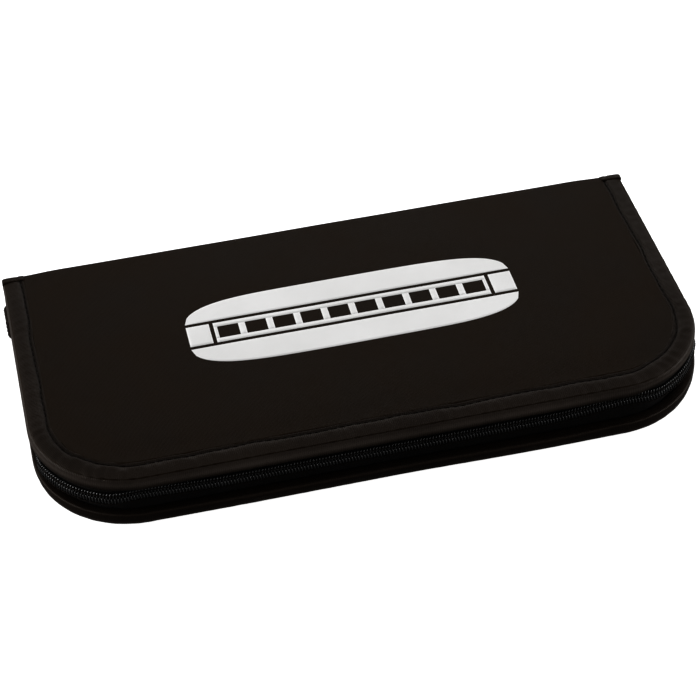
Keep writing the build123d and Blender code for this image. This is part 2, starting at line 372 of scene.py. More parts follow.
# Plain weave: yarns of a pitch in metres pass over and under each other on the pattern.
weave, source, result = group(
    "plain_weave",
    [("Pattern", VECTOR, None), ("Pitch", FLOAT, 0.0005)],
    [("Height", FLOAT), ("Over", FLOAT)],
)
wobble = noise(weave, source.outputs["Pattern"], 900.0, 1.0)
split = add(weave, "ShaderNodeSeparateXYZ", {"Vector": source.outputs["Pattern"]})
stray = sums(weave, "MULTIPLY_ADD", wobble, 0.9, -0.45)
waves = []
for axis in ("X", "Y"):
    turns = sums(weave, "DIVIDE", split.outputs[axis], source.outputs["Pitch"])
    turns = sums(weave, "ADD", turns, sums(weave, "MULTIPLY", stray, 0.4))
    waves.append(sums(weave, "SINE", sums(weave, "MULTIPLY", turns, math.pi)))
warp, weft = waves
heights = []
for yarn, other, way in ((warp, weft, 0.5), (weft, warp, -0.5)):
    sign = sums(weave, "SIGN", yarn, 0.0)
    lift = sums(weave, "MULTIPLY_ADD", sums(weave, "MULTIPLY", sign, other), way, 0.5)
    heights.append(sums(weave, "MULTIPLY", sums(weave, "POWER", sums(weave, "ABSOLUTE", yarn), 0.6), lift))
weave.links.new(sums(weave, "MAXIMUM", heights[0], heights[1]), result.inputs["Height"])
weave.links.new(sums(weave, "GREATER_THAN", heights[0], heights[1]), result.inputs["Over"])

# Handling: the slow mottle, from 0 to 1, that wear and dust leave on any cloth.
handling, source, result = group("handling", [("Pattern", VECTOR, None)], [("Mottle", FLOAT)])
cloud = noise(handling, source.outputs["Pattern"], 28.0, 4.0)
clear = add(handling, "ShaderNodeMapRange", {"Value": cloud, "From Min": 0.35, "From Max": 0.65})
handling.links.new(clear.outputs[0], result.inputs["Mottle"])


def use(tree, effect, inputs):
    """A shader group placed in a material."""
    return add(tree, "ShaderNodeGroup", inputs, node_tree=effect)


def pattern_of(tree):
    return add(tree, "ShaderNodeAttribute", attribute_name="cloth").outputs["Vector"]


def mottle_of(tree, pattern):
    return use(tree, handling, {"Pattern": pattern}).outputs["Mottle"]


def blended(tree, first, share, second):
    """A share of one value and the rest of another."""
    return sums(tree, "MULTIPLY_ADD", first, share, sums(tree, "MULTIPLY", second, 1 - share))


def tinted(tree, surface, factor, low, high):
    """Base colour between two by a factor. low may be another mix's output."""
    ends = {6: (*low, 1) if isinstance(low, tuple) else low, 7: (*high, 1)}
    colour = add(tree, "ShaderNodeMix", {"Factor": factor, **ends}, data_type="RGBA").outputs[2]
    tree.links.new(colour, surface.inputs["Base Color"])
    return colour


def rough(tree, surface, factor, low, high):
    """Roughness between two values, by a factor."""
    between = add(tree, "ShaderNodeMapRange", {"Value": factor, "To Min": low, "To Max": high})
    tree.links.new(between.outputs[0], surface.inputs["Roughness"])


def bumped(tree, surface, height, distance, strength=1.0):
    """A Bump node of a depth in metres on the shader's Normal."""
    bump = add(tree, "ShaderNodeBump", {"Height": height, "Distance": distance, "Strength": strength})
    tree.links.new(bump.outputs[0], surface.inputs["Normal"])


WARM = (1.0, 0.9, 0.82, 1.0)


def cloth_paint(name, slot, roughness, specular, sheen):
    """The start of every cloth here: its pattern and its plain settings."""
    settings = {"Roughness": roughness, "Specular IOR Level": specular, "Specular Tint": WARM}
    settings |= {"Sheen Weight": sheen, "Sheen Roughness": 0.5}
    made, tree, surface = shader(name, slot, settings)
    return made, tree, surface, pattern_of(tree)


OXFORD_PITCH = 0.00048
nylon, tree, surface, pattern = cloth_paint("cover_nylon", "cover_nylon", 0.5, 0.155, 0.0)
woven = use(tree, weave, {"Pattern": pattern, "Pitch": OXFORD_PITCH})
yarn = blended(tree, woven.outputs["Over"], 0.35, mottle_of(tree, pattern))
tinted(tree, surface, yarn, (0.0102, 0.0056, 0.0022), (0.0172, 0.0096, 0.0042))
rough(tree, surface, yarn, 0.42, 0.56)
bumped(tree, surface, woven.outputs["Height"], 0.00012, 0.8)

COVER_INSETS = [d * MM for d in (0.8, 3, 6, 8.3, 8.65, 8.9, 9.15, 9.45, 10, 11.3, 12.5, 15, 19, 24, 30, 35)]
COVER_THICK, COVER_GAP = 0.4 * MM, 0.05 * MM
BINDING_EDGE = 9.0 * MM
MARGIN_DIP = 0.62 * MM
CROWN_RUN, CROWN_UNEVEN = 14 * MM, 0.35


def cover_sink(crown, seed):
    """How far the cover dips: under the binding at its margin, and up in its field."""
    def sink(inset, x, y):
        under = 1 - smoothstep(inset, BINDING_EDGE - 0.9 * MM, BINDING_EDGE + 0.15 * MM)
        field = smoothstep(inset, BINDING_EDGE, BINDING_EDGE + CROWN_RUN)
        return MARGIN_DIP * under - crown * field * (1 + CROWN_UNEVEN * swell(x, y, seed)) + COVER_GAP
    return sink


def turn_over_fold(piece):
    """Bakes a piece's placement into its points."""
    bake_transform(piece)


def glued_cloth(half, kind, insets, depth, spine_y, fold, sink, material, thickness):
    """One half of the cover or the lining, cut to its outline and glued over the board."""
    sheet = wrapped_sheet(
        f"{half}_{kind}_cloth", insets, depth, spine_y, fold, sink, material, half == "lid", kind == "lining"
    )
    thicken(sheet, thickness)
    turn_over_fold(sheet)
    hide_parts(f"{half}_{kind}", *(["spine_" + kind] if half == "base" else []))


FOLD_TURN = 1.3 * MM
LID_CROWN = 0.4 * MM
lid_sink = cover_sink(LID_CROWN, 11)
for half, sink in (("base", cover_sink(0.0, 3)), ("lid", lid_sink)):
    glued_cloth(half, "cover", COVER_INSETS, 0.0, BACK, FOLD_TURN, sink, nylon, COVER_THICK)

# ---------------------------------------------------------------------------------------
# The stiffening. Grey board lies under the cover of base, lid and spine, with a thin foam
# sheet glued on its outer side in base and lid. Both keep the shape that they are cut to.
# ---------------------------------------------------------------------------------------
def solid_place(tree):
    return add(tree, "ShaderNodeTexCoord").outputs["Object"]


board_paint, tree, surface = shader("grey_board", None, {"Roughness": 0.9})
pulp = noise(tree, solid_place(tree), 700.0, 5.0)
tinted(tree, surface, pulp, (0.24, 0.215, 0.18), (0.4, 0.37, 0.32))
bumped(tree, surface, pulp, 0.00008)

foam_paint, tree, surface = shader("closed_cell_foam", None, {"Roughness": 0.8})
cells = add(tree, "ShaderNodeTexVoronoi", {"Vector": solid_place(tree), "Scale": 2400.0}).outputs["Distance"]
tinted(tree, surface, cells, (0.14, 0.14, 0.15), (0.3, 0.3, 0.31))
bumped(tree, surface, cells, 0.0001)


def finish_node(name, material):
    """Gives a CAD node its finish."""
    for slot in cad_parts[name].material_slots:
        slot.link = "OBJECT"
        slot.material = material


for node in ("base_board", "lid_board", "spine_board"):
    finish_node(node, board_paint)
for node in ("base_foam", "lid_foam"):
    finish_node(node, foam_paint)

# ---------------------------------------------------------------------------------------
# The lining, a short-pile brushed cloth glued over the boards' inner side. It is one piece
# through base, spine and lid, cut here along the spine's middle as the cover is.
# ---------------------------------------------------------------------------------------
lining_paint, tree, surface, pattern = cloth_paint("lining_cloth", "lining_cloth", 0.85, 0.1, 0.5)
pile = noise(tree, pattern, 4200.0, 3.0)
nap = blended(tree, noise(tree, pattern, 55.0, 3.0, 1.5), 0.6, pile)
tinted(tree, surface, nap, (0.012, 0.0115, 0.0125), (0.034, 0.032, 0.034))
rough(tree, surface, nap, 0.8, 0.95)
bumped(tree, surface, pile, 0.00025, 0.7)

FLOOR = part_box("base_lining")[1].z
SPINE_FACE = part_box("spine_lining")[0].y
LINING_INSETS = [d * MM for d in (0.8, 4, 9, 14, 20, 28, 36)]
LINING_TURN = 1.6 * MM
LINING_THICK, GLUE_UNEVEN = 0.35 * MM, 0.05 * MM


def lining_sink(seed):
    """The lining's faint unevenness where its glue took more or less."""
    def sink(inset, x, y):
        return GLUE_UNEVEN * (1 + swell(x, y, seed)) * smoothstep(inset, 9 * MM, 20 * MM)
    return sink


for half, seed in (("base", 21), ("lid", 22)):
    sink = lining_sink(seed)
    glued_cloth(
        half, "lining", LINING_INSETS, FLOOR, SPINE_FACE, LINING_TURN, sink, lining_paint, LINING_THICK
    )

# ---------------------------------------------------------------------------------------
# The binding, a ribbed nylon tape folded over the panel's edge on its front and sides, with
# every layer inside, and sewn through. It puckers a little, most of all round the corners.
# ---------------------------------------------------------------------------------------
STITCH_PITCH = 3.2 * MM
STITCH_LINE = 7.6 * MM
ROLL_WIDTH = 3.6 * MM
END_LAP = 3.2 * MM
RIB_PITCH = 0.75 * MM
PUCKER_WAVES, PUCKER_LENGTHS = 7, (4.2, 15)
STRAY, STRAY_WAVES = 0.28 * MM, ((9.1, 0, 1), (5.3, 2, 0.6), (2.9, 0, 0.45))
CORNER_BULGE, BULGE_FLANK = 2.4 * MM, 16 * MM
RIGHT_SLACK, FRONT_SLACK = 1.4 * MM, 0.4 * MM

# Cross ribs, at a pitch along the pattern's X. A slant over a band turns them to herringbone.
ribs, source, result = group(
    "ribs",
    [("Pattern", VECTOR, None), ("Pitch", FLOAT, 0.001), ("Band", FLOAT, 1.0), ("Slant", FLOAT, 0.0)],
    [("Height", FLOAT)],
)
split = add(ribs, "ShaderNodeSeparateXYZ", {"Vector": source.outputs["Pattern"]})
fold_back = sums(ribs, "PINGPONG", split.outputs["Y"], source.outputs["Band"])
run = sums(ribs, "MULTIPLY_ADD", fold_back, source.outputs["Slant"], split.outputs["X"])
waver = sums(ribs, "MULTIPLY", noise(ribs, source.outputs["Pattern"], 500.0, 1.0), 0.5)
turns = sums(ribs, "ADD", sums(ribs, "DIVIDE", run, source.outputs["Pitch"]), waver)
wave = sums(ribs, "ABSOLUTE", sums(ribs, "SINE", sums(ribs, "MULTIPLY", turns, math.pi)))
ribs.links.new(sums(ribs, "POWER", wave, 0.7), result.inputs["Height"])

# The yarns' colour goes to a pale end where the tape gets a painted highlight, and to a dark one where it
# gets painted shade, in its seam.
PAINTED_HIGHLIGHT_COLOUR, PAINTED_SHADE_COLOUR = (0.08, 0.066, 0.057), (0.0021, 0.0012, 0.0007)
binding_paint, tree, surface, pattern = cloth_paint("binding_tape", "binding_tape", 0.5, 0.22, 0.0)
ribbed = use(tree, ribs, {"Pattern": pattern, "Pitch": RIB_PITCH}).outputs["Height"]
yarn = blended(tree, ribbed, 0.5, mottle_of(tree, pattern))
# The pattern's Z, in millimetres, carries painted light: above 0 a painted highlight, below 0 painted shade.
painted_light_and_wear = add(tree, "ShaderNodeSeparateXYZ", {"Vector": pattern}).outputs["Z"]
painted_light_and_wear = sums(tree, "DIVIDE", painted_light_and_wear, MM)
shade = tinted(tree, surface, yarn, (0.009, 0.0054, 0.003), (0.0165, 0.0108, 0.0072))
# Painted highlight towards the pale colour, then painted shade towards the dark one.
highlight_share = sums(tree, "MULTIPLY", painted_light_and_wear, sums(tree, "MULTIPLY_ADD", yarn, 0.6, 0.4))
shade = tinted(tree, surface, highlight_share, shade, PAINTED_HIGHLIGHT_COLOUR)
tinted(tree, surface, sums(tree, "MULTIPLY", painted_light_and_wear, -1.0), shade, PAINTED_SHADE_COLOUR)
rough(tree, surface, yarn, 0.58, 0.4)
bumped(tree, surface, ribbed, 0.00012, 0.7)


def hump(s, rise, fall):
    """Rises smoothly from 0 to 1 over one range of s and falls back to 0 over another."""
    return smoothstep(s, *rise) * (1 - smoothstep(s, *fall))


def spot(values, middle, reach):
    """1 at a middle value, and less and less over a reach on both its sides."""
    return np.exp(-(((values - middle) / reach) ** 2))


def corner_share(s):
    """1 round the two corners of the outline and 0 on its straight runs."""
    before, within = 12 * MM, 6 * MM
    return sum(
        hump(s, (start - before, start + within), (start + ARC_RUN - within, start + ARC_RUN + before))
        for start in CORNER_STARTS
    )


def puckers(s, seed):
    """Uneven ripples along the outline, from about -1 to 1, stronger round the corners."""
    draw = np.random.default_rng(seed)
    total = 0
    for number in range(PUCKER_WAVES):
        wave = draw.uniform(*PUCKER_LENGTHS) * MM
        total = total + np.sin(s / wave * 2 * math.pi + draw.uniform(0, 2 * math.pi)) * draw.uniform(0.5, 1)
    return total / 3 * (0.5 + 0.5 * corner_share(s))


def wander(s):
    """How far the binding's inner part strays from its line, as it was sewn by hand."""
    return STRAY * sum(height * np.sin(s / (wave * MM) + phase) for wave, phase, height in STRAY_WAVES)


def bulge(s):
    """How far the zipper's wall pushes out round each corner, where its tape is too long."""
    return CORNER_BULGE * sum(
        hump(s, (start + MM, start + BULGE_FLANK), (start + ARC_RUN - BULGE_FLANK, start + ARC_RUN))
        for start in CORNER_STARTS
    )


def slack(s):
    """How far the base's binding stands out on the right and in front, where it is loose."""
    share = s / RIM_RUN
    right = smoothstep(s, 12 * MM, 50 * MM) * (1 - smoothstep(share, 0.35, 0.5))
    return RIGHT_SLACK * right + FRONT_SLACK * hump(share, (0.3, 0.45), (0.6, 0.72))


def rod(rows, count, turned=False):
    """Faces of a closed solid: rows of count points in rings, with a cap at either end."""
    last = (rows - 1) * count
    caps = [tuple(range(count)), tuple(range(last + count - 1, last - 1, -1))]
    return quads(rows, count, True, turned) + [cap[::-1] if turned else cap for cap in caps]


def outward(piece, weld=None):
    """Turns every face of a closed piece to face out, after a weld of points that near."""
    work = bmesh.new()
    work.from_mesh(piece.data)
    if weld:
        bmesh.ops.remove_doubles(work, verts=work.verts, dist=weld)
    bmesh.ops.recalc_face_normals(work, faces=work.faces)
    work.to_mesh(piece.data)
    work.free()
    return piece


def sweep(name, stations, section, material, upper, painted_light=0.0):
    """A closed solid along the outline. section is a line of (inset, depth) points for each station, in
    metres. The last argument, along the section, is 1 where its cloth gets a painted highlight and -1 where
    it gets painted shade; the pattern's Z keeps it."""
    line, normal = rim_line(stations)
    inset, depth = section[..., :1], section[..., 1:]
    flat = line[:, None] - normal[:, None] * inset
    points = np.concatenate([flat, HEIGHT - depth if upper else depth], -1)
    gaps = np.linalg.norm(np.diff(section[0], axis=0), axis=1)
    around = np.concatenate([[0], np.cumsum(gaps)])
    # The pattern's Z keeps the painted highlight and painted shade along the section.
    cloth = np.stack(np.broadcast_arrays(stations[:, None], around[None], painted_light * MM), -1)
    faces = rod(len(stations), section.shape[1])
    return outward(new_piece(name, points.reshape(-1, 3), faces, cloth.reshape(-1, 3), material))


# The tape's section: inset and depth in millimetres, and how far its puckers move it there.
BAND_SECTION = [
    (8.9, 0.66, 0.0), (9.0, 0.34, 0.3), (8.92, 0.18, 0.6), (8.7, 0.1, 0.8), (8.25, 0.16, 0.8),
    (7.6, 0.62, 0.2), (6.95, 0.15, 0.7), (6.2, 0.0, 1.0), (5.2, 0.0, 1.0), (4.2, 0.05, 1.0),
    (3.1, 0.18, 1.0), (2.2, 0.35, 0.9), (1.45, 0.56, 0.7), (0.9, 0.8, 0.5), (0.4, 1.15, 0.5),
    (0.1, 1.7, 0.6), (-0.18, 2.5, 0.8), (-0.5, 3.3, 0.8), (-0.78, 4.1, 0.8), (-0.86, 4.8, 0.8),
    (-0.72, 5.4, 0.8), (-0.3, 5.85, 0.6), (0.6, 6.0, 0.5), (1.8, 6.02, 0.4), (2.9, 5.95, 0.4),
    (3.45, 5.7, 0.2), (3.6, 5.3, 0.0), (3.6, 2.35, 0.0), (3.0, 2.35, 0.0), (3.0, 5.15, 0.0),
    (0.7, 5.25, 0.0), (0.1, 4.6, 0.0), (0.5, 2.0, 0.0), (0.8, 1.4, 0.0), (1.4, 0.85, 0.0),
]
band_inset, band_depth, band_soft = np.array(BAND_SECTION).T
PUCKER_LAG = 0.25 * MM
PUCKER_LID, PUCKER_BASE = 0.2 * MM, 0.14 * MM
STITCH_PULL = 0.05 * MM
LAP_PRESS, LAP_TUCK = 0.4 * MM, 0.3 * MM
LEFT_TIGHT, CORNER_TIGHT = 0.75, 0.85
LID_THINNING = 0.38
BASE_CRISPNESS = 0.55


def band_sections(stations, upper, seed):
    """The binding's section at each station, puckered, and pressed in under its end laps."""
    s = stations[:, None]
    flat_inset, flat_depth = band_inset * MM, band_depth * MM
    inwards, down = (np.roll(v, -1) - np.roll(v, 1) for v in (flat_inset, flat_depth))
    length = np.hypot(inwards, down) + 1e-9
    shift = np.concatenate([puckers(s + k * PUCKER_LAG, seed + k // 8) for k in range(len(band_soft))], 1)
    shift = shift * band_soft * (PUCKER_LID if upper else PUCKER_BASE)
    inset = flat_inset - shift * down / length
    depth = flat_depth + shift * inwards / length

    # The thread pulls the tape in along its seam, most of all under each stitch.
    pull = STITCH_PULL * (1 + np.cos(s / STITCH_PITCH * 2 * math.pi))
    depth += pull * spot(flat_inset, STITCH_LINE, 0.9 * MM) * (flat_depth < 0.6 * MM)

    # Under the end laps it lies deeper, and its outer roll starts beyond them.
    from_end = np.minimum(s, RIM_RUN - s)
    lap = 1 - smoothstep(from_end, END_LAP - 0.6 * MM, END_LAP + 0.8 * MM)
    depth += LAP_PRESS * lap * np.clip(1 - flat_depth / (2.3 * MM), 0, 1)
    inset += LAP_TUCK * lap * (flat_inset < 1.1 * MM)
    corner = hump(s, (SIDE_RUN, SIDE_RUN + 15 * MM), (SIDE_RUN + ARC_RUN, SIDE_RUN + 1.4 * ARC_RUN))
    roll = smoothstep(from_end, END_LAP, END_LAP + 12 * MM) * (1 - CORNER_TIGHT * corner)
    roll = roll * (1 - LEFT_TIGHT * smoothstep(s / RIM_RUN, 0.6, 0.75))
    inset = np.where(inset < 0, inset * roll, inset)
    inset += wander(s) * smoothstep(flat_inset, 4 * MM, 6 * MM) * (flat_depth < 0.7 * MM)

    # The lid's is thinner over the right corner's bulge; the base's is crisp, and slack.
    if upper:
        thin = bulge(s) * (s < RIM_RUN / 2) / CORNER_BULGE
        depth -= LID_THINNING * thin * np.maximum(flat_depth - 2 * MM, 0)
        return np.stack([inset, np.maximum(depth, -0.3 * MM)], -1)
    depth *= 1 - BASE_CRISPNESS * (flat_inset < 2 * MM) * (flat_depth < 1.7 * MM)
    inset -= slack(s) * (1 - smoothstep(flat_inset, 0.7 * MM, 6 * MM))
    return np.stack([inset, np.maximum(depth, 0.02 * MM)], -1)


# Where the tape gets a painted highlight, along its section: the lid's outer edge and a little of its face,
# and the base's edge. It gets painted shade in the groove of its seam and along its inner edge.
BINDING_START = 2.0 * MM
lid_painted_highlight = spot(band_depth, 3.0, 1.3) * (band_inset < 0.45)
lid_painted_highlight += 0.17 * spot(band_inset, 0.6, 2.2) * (band_depth < 2)
base_painted_highlight = 0.6 * spot(band_depth, 1.5, 0.6) * (band_inset < 1.0)
seam_painted_shade = spot(band_inset, STITCH_LINE / MM, 0.5) + 0.15 * (band_inset > 8.6)
band_stations = np.arange(BINDING_START, RIM_RUN - BINDING_START, STITCH_PITCH / 4)
for half, seed, painted_light in (("base", 31, base_painted_highlight), ("lid", 51, lid_painted_highlight)):
    upper = half == "lid"
    sections = band_sections(band_stations, upper, seed)
    band = sweep(half + "_binding_tape", band_stations, sections, binding_paint, upper, painted_light - seam_painted_shade)
    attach(band, half)
    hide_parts(half + "_binding")

# ---------------------------------------------------------------------------------------
# The binding's two ends. They are turned back over the panel's corner and run on over the
# short end of the spine, so each crosses both folds. Each half stops at the spine's middle.
# ---------------------------------------------------------------------------------------
LAP_TURN, LEAST_TURN = 1.3 * MM, 0.35 * MM
END_WIDTH = 9.2 * MM
END_OVERHANG = 0.15 * MM
# The tape's section there: a share of its width, and its depth in millimetres.
END_SECTION = [
    (1.0, 0.62), (1.01, 0.2), (0.96, 0.0), (0.8, -0.04), (0.7, 0.08), (0.6, -0.04), (0.4, -0.05),
    (0.22, -0.03), (0.1, 0.08), (0.025, 0.35), (0.0, 0.85), (0.0, 1.4), (0.03, 1.85), (0.1, 2.08),
    (0.3, 2.1), (0.65, 2.1), (0.98, 2.1), (1.0, 1.95), (1.0, 1.55), (0.3, 1.55), (0.12, 1.45),
    (0.08, 1.2), (0.12, 0.75), (0.3, 0.62),
]
LAP_STEPS, TURN_STEPS, CLIMB_STEPS = 7, 8, 8
TUCK = 0.35 * MM
RAISED = 0.21 * MM
UNEVEN = 0.06


def spine_end(side, upper):
    """One half of the tape over one end of the spine."""
    points, cloth = [], []
    count = len(END_SECTION)
    rows = LAP_STEPS + TURN_STEPS + CLIMB_STEPS + 1
    wave = np.random.default_rng(5 + side + 2 * upper).uniform(-UNEVEN, UNEVEN, (rows, count)) * MM
    for step in range(rows):
        for k, (share, depth) in enumerate(END_SECTION):
            depth = depth * MM + wave[step, k] * (0.3 < share < 0.95)
            if not upper:
                depth = max(depth, 0.03 * MM)
            elif depth < 0.5 * MM:
                depth -= RAISED
            turn = max(LAP_TURN - depth, LEAST_TURN)
            corner = BACK - depth - turn
            if step <= LAP_STEPS:
                start = BACK - END_LAP
                y = start + (corner - start) * step / LAP_STEPS
                z = depth + TUCK * (step == 0) * (depth < 0.6 * MM)
            elif step <= LAP_STEPS + TURN_STEPS:
                angle = math.pi / 2 * (step - LAP_STEPS) / TURN_STEPS
                y, z = corner + turn * math.sin(angle), depth + turn * (1 - math.cos(angle))
            else:
                up = (step - LAP_STEPS - TURN_STEPS) / CLIMB_STEPS
                y, z = BACK - depth, depth + turn + (HEIGHT / 2 - depth - turn) * up
            x = side * (HALF + END_OVERHANG - share * END_WIDTH)
            points.append((x, y, HEIGHT - z if upper else z))
            cloth.append((y + z, share * END_WIDTH + depth))
    name = ("lid" if upper else "base") + "_spine_end_" + ("right" if side > 0 else "left")
    return outward(new_piece(name, points, rod(rows, count), cloth, binding_paint))


for side, label in ((-1, "left"), (1, "right")):
    for half in ("base", "lid"):
        tape = spine_end(side, half == "lid")
        turn_over_fold(tape)
        if half == "base":
            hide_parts("spine_binding_" + label)

# ---------------------------------------------------------------------------------------
# The zipper's two tapes, herringbone woven. Each stands up from a hem that is sewn to the
# lining inside the roll of the binding, and it bows a little between the roll and the coil.
# ---------------------------------------------------------------------------------------
TAPE = 0.5 * MM
HEM = 5.4 * MM
HEM_EDGE, HEM_LIFT = 0.6 * MM, 0.03 * MM
TAPE_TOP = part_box("base_zip_tape")[1].z
TAPE_BEND = 0.8 * MM
TAPE_BOW = 0.18 * MM
TAPE_START, TAPE_STEP = 2.3 * MM, 1.6 * MM
HERRINGBONE_BAND = 2.0 * MM
RIGHT_CLIMB, LEFT_CLIMB = 3.0 * MM, 1.8 * MM
coil_low, coil_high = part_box("base_zip_coil")

tape_paint, tree, surface, pattern = cloth_paint("zipper_tape", "zipper_tape", 0.7, 0.25, 0.04)
bones = use(tree, ribs, {"Pattern": pattern, "Pitch": 0.0007, "Band": HERRINGBONE_BAND, "Slant": 1.0})
yarn = blended(tree, bones.outputs["Height"], 0.4, mottle_of(tree, pattern))
tinted(tree, surface, yarn, (0.0045, 0.0042, 0.0042), (0.0105, 0.0098, 0.0098))
rough(tree, surface, yarn, 0.75, 0.6)
bumped(tree, surface, bones.outputs["Height"], 0.00014, 0.8)


def climb(s):
    """How far the coils ride up round each corner, most of all round the right one."""
    rise = (SIDE_RUN + MM, SIDE_RUN + 23 * MM)
    fall = (SIDE_RUN + ARC_RUN - 8 * MM, SIDE_RUN + ARC_RUN + 32 * MM)
    return RIGHT_CLIMB * hump(s, rise, fall) + LEFT_CLIMB * hump(RIM_RUN - s, rise, fall)


HEM_TOP = FLOOR + TAPE
wall_rows = np.linspace(HEM_TOP + TAPE_BEND, TAPE_TOP, 8)
tape_section = [(ROLL_WIDTH, z) for z in wall_rows] + [(ROLL_WIDTH + TAPE, z) for z in wall_rows[::-1]]
for angle in np.linspace(0, math.pi / 2, 5)[1:]:
    across, down = TAPE_BEND * (1 - math.cos(angle)), TAPE_BEND * (1 - math.sin(angle))
    tape_section.append((ROLL_WIDTH + TAPE + across, HEM_TOP + down))
tape_section += [(ROLL_WIDTH + HEM, HEM_TOP), (ROLL_WIDTH + HEM, FLOOR + HEM_LIFT)]
tape_section += [(ROLL_WIDTH + HEM_EDGE, FLOOR + HEM_LIFT), (ROLL_WIDTH, FLOOR + HEM_EDGE)]
tape_inset, tape_depth = np.array(tape_section).T

# The tape bows where nothing holds it, and its top follows the coil round the corners.
free = hump(tape_depth, (HEM_TOP, 7 * MM), (8 * MM, TAPE_TOP))
loose = smoothstep(tape_depth, 5.8 * MM, coil_low.z)
tape_stations = np.arange(TAPE_START, RIM_RUN - TAPE_START, TAPE_STEP)
for half, seed, way in (("base", 71, 1), ("lid", 72, -1)):
    s = tape_stations[:, None]
    inset = tape_inset + TAPE_BOW * (1 + puckers(s, seed)) * free - bulge(s) * loose
    sections = np.stack([inset, tape_depth + way * climb(s) * loose], -1)
    tape = sweep(half + "_zipper_tape", tape_stations, sections, tape_paint, half == "lid")
    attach(tape, half)
    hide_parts(half + "_zip_tape")

# ---------------------------------------------------------------------------------------
# The zipper's coils, each one nylon wire wound in a flattened helix whose heads lock with
# the other coil's. A sewing thread runs along each and holds it to its tape.
# ---------------------------------------------------------------------------------------
TOOTH_PITCH = 1.25 * MM
WIRE, WIRE_SIDES = 0.29 * MM, 6
TURN_SAMPLES = 14
COIL_OUTER = 1.8 * MM
COIL_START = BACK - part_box("base_top_stop")[0].y
COIL_END = RIM_RUN - (BACK - coil_high.y)
HEAD_REACH, HEAD_SWELL = 0.5 * MM, 0.25

coil_paint, tree, surface = shader(
    "zipper_coil", "zipper_coil", {"Specular IOR Level": 1.0, "Coat Weight": 0.5, "Coat Roughness": 0.12}
)
pattern = pattern_of(tree)
mottle = mottle_of(tree, pattern)
tinted(tree, surface, mottle, (0.012, 0.0118, 0.0118), (0.021, 0.0207, 0.0207))
rough(tree, surface, mottle, 0.16, 0.3)
bumped(tree, surface, noise(tree, pattern, 3000.0), 0.00003, 0.5)


def unit(vectors):
    return vectors / np.linalg.norm(vectors, axis=-1, keepdims=True)


def round_rings(first, second, sides):
    """Rings of a radius of 1, each in the plane of its first and second direction."""
    turn = np.linspace(0, 2 * math.pi, sides, endpoint=False)[None, :, None]
    return first[:, None] * np.cos(turn) + second[:, None] * np.sin(turn)


def tube(centres, radius, sides):
    """Points and faces of a round wire along a line of centres."""
    centres = np.asarray(centres, float)
    forward = unit(np.gradient(centres, axis=0))
    helper = np.where(np.abs(forward[:, 2:]) < 0.9, [[0, 0, 1.0]], [[1.0, 0, 0]])
    first = unit(np.cross(forward, helper))
    for i in range(1, len(first)):
        first[i] = unit(first[i - 1] - forward[i] * np.dot(first[i - 1], forward[i]))
    radius = np.broadcast_to(np.asarray(radius, float).reshape(-1, 1, 1), (len(centres), 1, 1))
    points = centres[:, None] + round_rings(first, np.cross(forward, first), sides) * radius
    return points.reshape(-1, 3), rod(len(centres), sides, turned=True)


def on_rim(s, inset, depth, upper=False):
    """Points at an inset and a depth, at distances s along the outline."""
    line, normal = rim_line(s)
    inset, depth = np.broadcast_to(inset, np.shape(s)), np.broadcast_to(depth, np.shape(s))
    return np.column_stack([line - normal * inset[:, None], HEIGHT - depth if upper else depth])


turns = np.arange(int((COIL_END - COIL_START) / TOOTH_PITCH) * TURN_SAMPLES) / TURN_SAMPLES
angle = turns * 2 * math.pi
heads = np.sign(np.cos(angle)) * np.abs(np.cos(angle)) ** 0.75
bottom, crest = coil_low.z + WIRE, coil_high.z + HEAD_REACH
wire_radius = WIRE * (1 + HEAD_SWELL * smoothstep(heads, 0.72, 0.98))
for half, way in (("base", 1), ("lid", -1)):
    upper = half == "lid"
    s = COIL_START + (turns + 0.5 * upper) * TOOTH_PITCH
    inset = (COIL_OUTER + ROLL_WIDTH) / 2 + ((ROLL_WIDTH - COIL_OUTER) / 2 - WIRE) * np.sin(angle) - bulge(s)
    depth = (bottom + crest) / 2 + (crest - bottom) / 2 * heads + way * climb(s)
    wire, faces = tube(on_rim(s, inset, depth, upper), wire_radius, WIRE_SIDES)
    along = np.repeat(np.column_stack([s, 0 * s]), WIRE_SIDES, 0)
    coil = new_piece(half + "_zipper_coil", wire, faces, along, coil_paint)
    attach(coil, half)
    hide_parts(half + "_zip_coil")

# ---------------------------------------------------------------------------------------
# The stitching, bonded polyester thread in the cloth's own black. One seam goes through the
# binding, the panel and the tape's hem; others hold the coils to their tapes and the spine.
# ---------------------------------------------------------------------------------------
STITCH_LENGTH = 2.75 * MM
THREAD, THREAD_SIDES = 0.2 * MM, 6
# A stitch's thickness from one end to the other.
STITCH_SHAPE = [(-1, 0.35), (-0.9, 0.8), (-0.6, 1.0), (0, 1.0), (0.6, 1.0), (0.9, 0.8), (1, 0.35)]
SUNK, CHAIN_SUNK = 0.3 * MM, 0.15 * MM
ON_TOP = 0.05 * MM
FIRST_STITCH = END_LAP + 1.5 * MM
CHAIN_LENGTH, CHAIN_DEPTH, CHAIN_OUT = 1.9 * TOOTH_PITCH, 0.85 * MM, 0.06 * MM

thread_paint, tree, surface = shader(
    "sewing_thread", "binding_tape", {"Specular IOR Level": 0.2, "Specular Tint": WARM}
)
plies = use(tree, ribs, {"Pattern": pattern_of(tree), "Pitch": 0.0004}).outputs["Height"]
tinted(tree, surface, plies, (0.0034, 0.002, 0.0012), (0.008, 0.005, 0.0034))
rough(tree, surface, plies, 0.75, 0.6)
bumped(tree, surface, plies, 0.00005)


